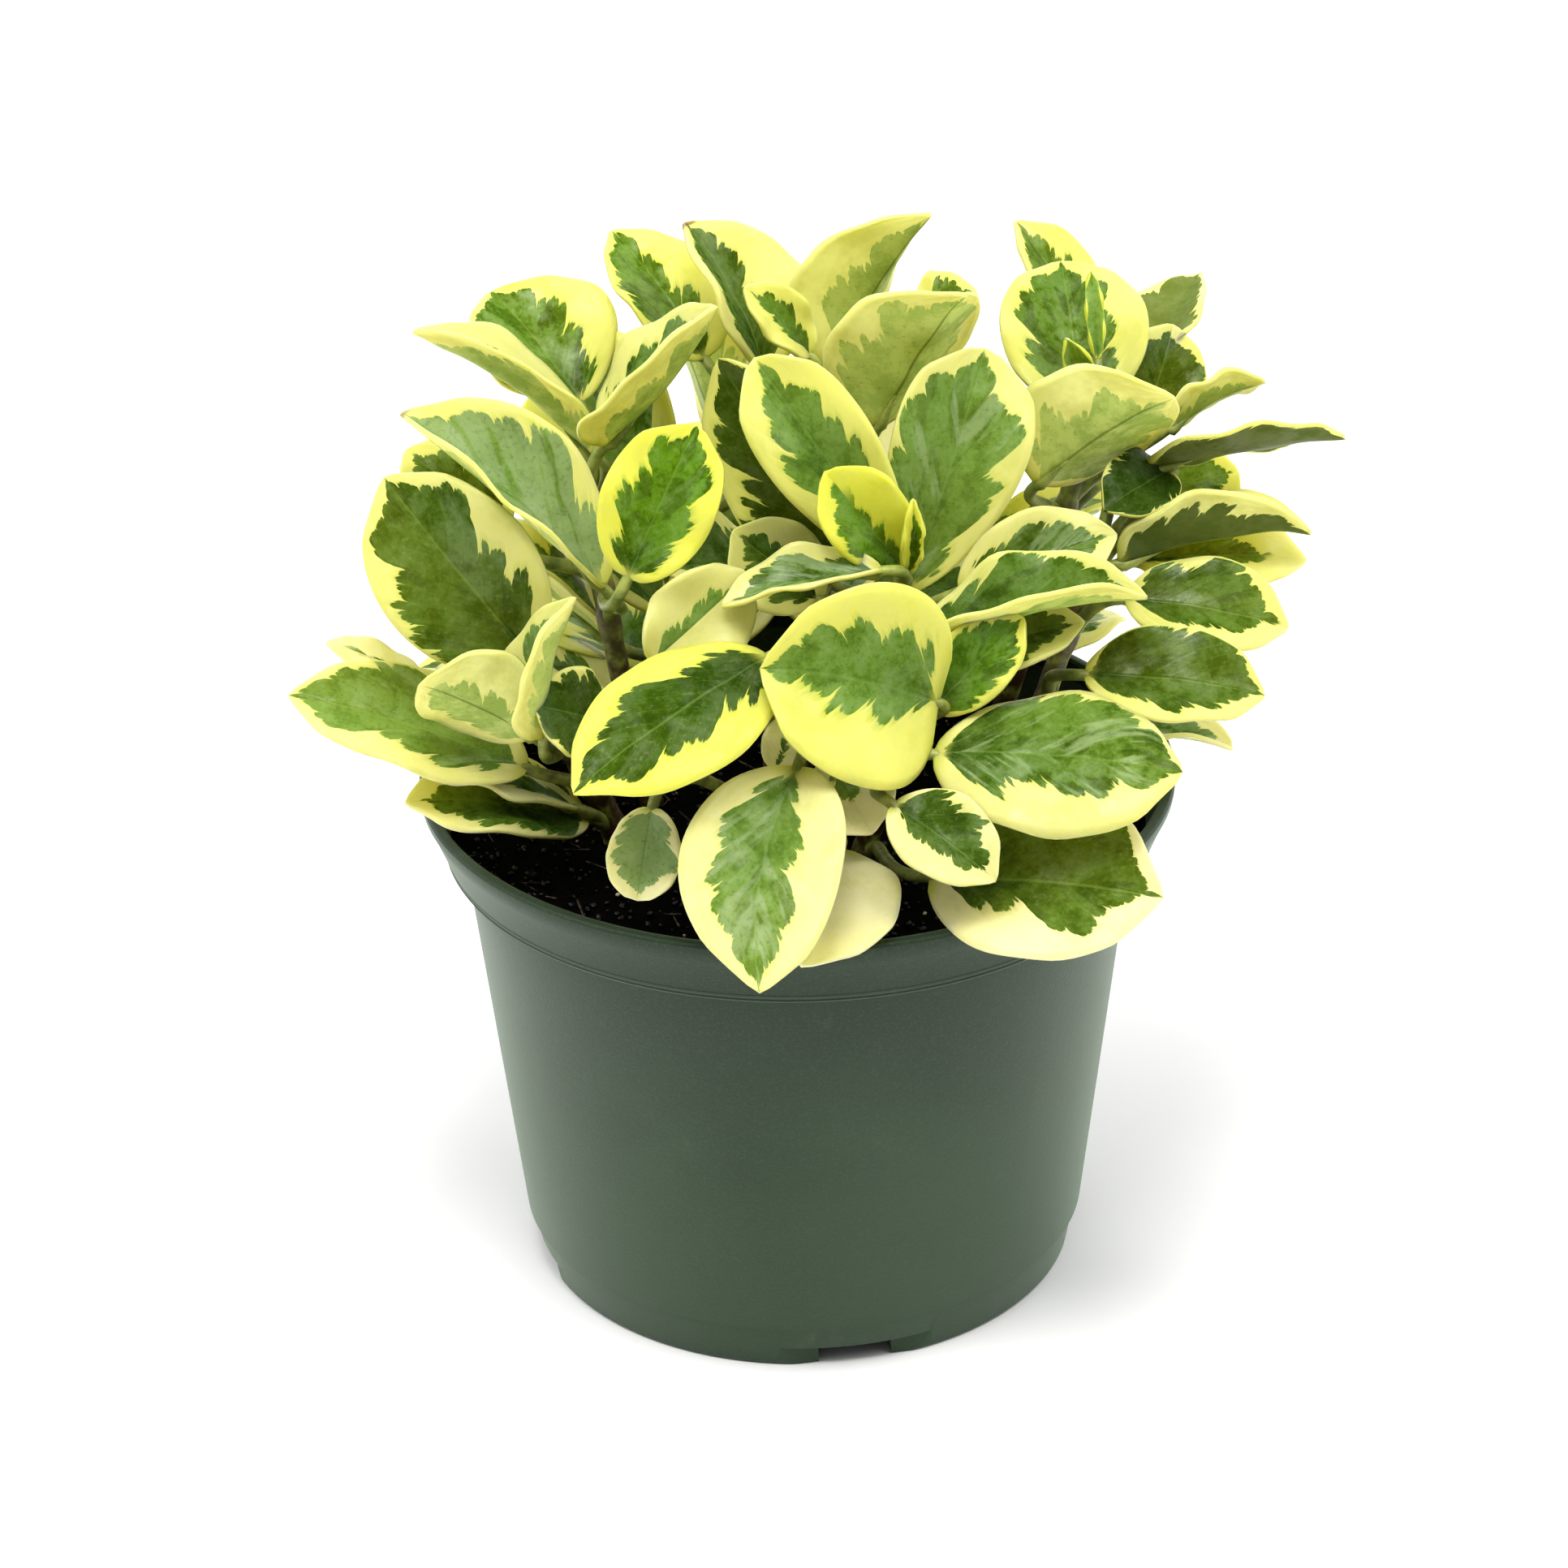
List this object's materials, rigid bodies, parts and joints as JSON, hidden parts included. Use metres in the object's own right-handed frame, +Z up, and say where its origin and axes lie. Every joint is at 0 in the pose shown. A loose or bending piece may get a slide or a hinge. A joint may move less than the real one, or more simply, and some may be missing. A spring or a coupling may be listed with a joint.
{
  "type": "potted plant",
  "caption": "Variegated peperomia with broad, glossy, cream-edged green leaves on fleshy stems, in a tapered green nursery pot filled with dark potting mix.",
  "frame": {"origin": "on the pot's axis, at the underside that the pot rests on", "axes": "+Z up along the pot's axis; -Y towards the viewer of the picture; +X to the viewer's right"},
  "size_m": [0.2091, 0.1791, 0.2163],
  "materials": {
    "pot": "moulded, finely grained, satin to matte",
    "soil": "damp, crumbly and fibrous",
    "leaf": "waxy, soft gloss"
  },
  "bodies": {
    "root": {"pot": "pot", "soil": "soil", "stem_centre": "leaf", "stem_back_centre": "leaf", "stem_left_back": "leaf", "stem_left": "leaf", "stem_front": "leaf", "stem_front_left": "leaf", "stem_right": "leaf", "stem_right_back": "leaf", "stem_rear_right": "leaf", "stem_rear_left": "leaf"}
  },
  "joints": []
}
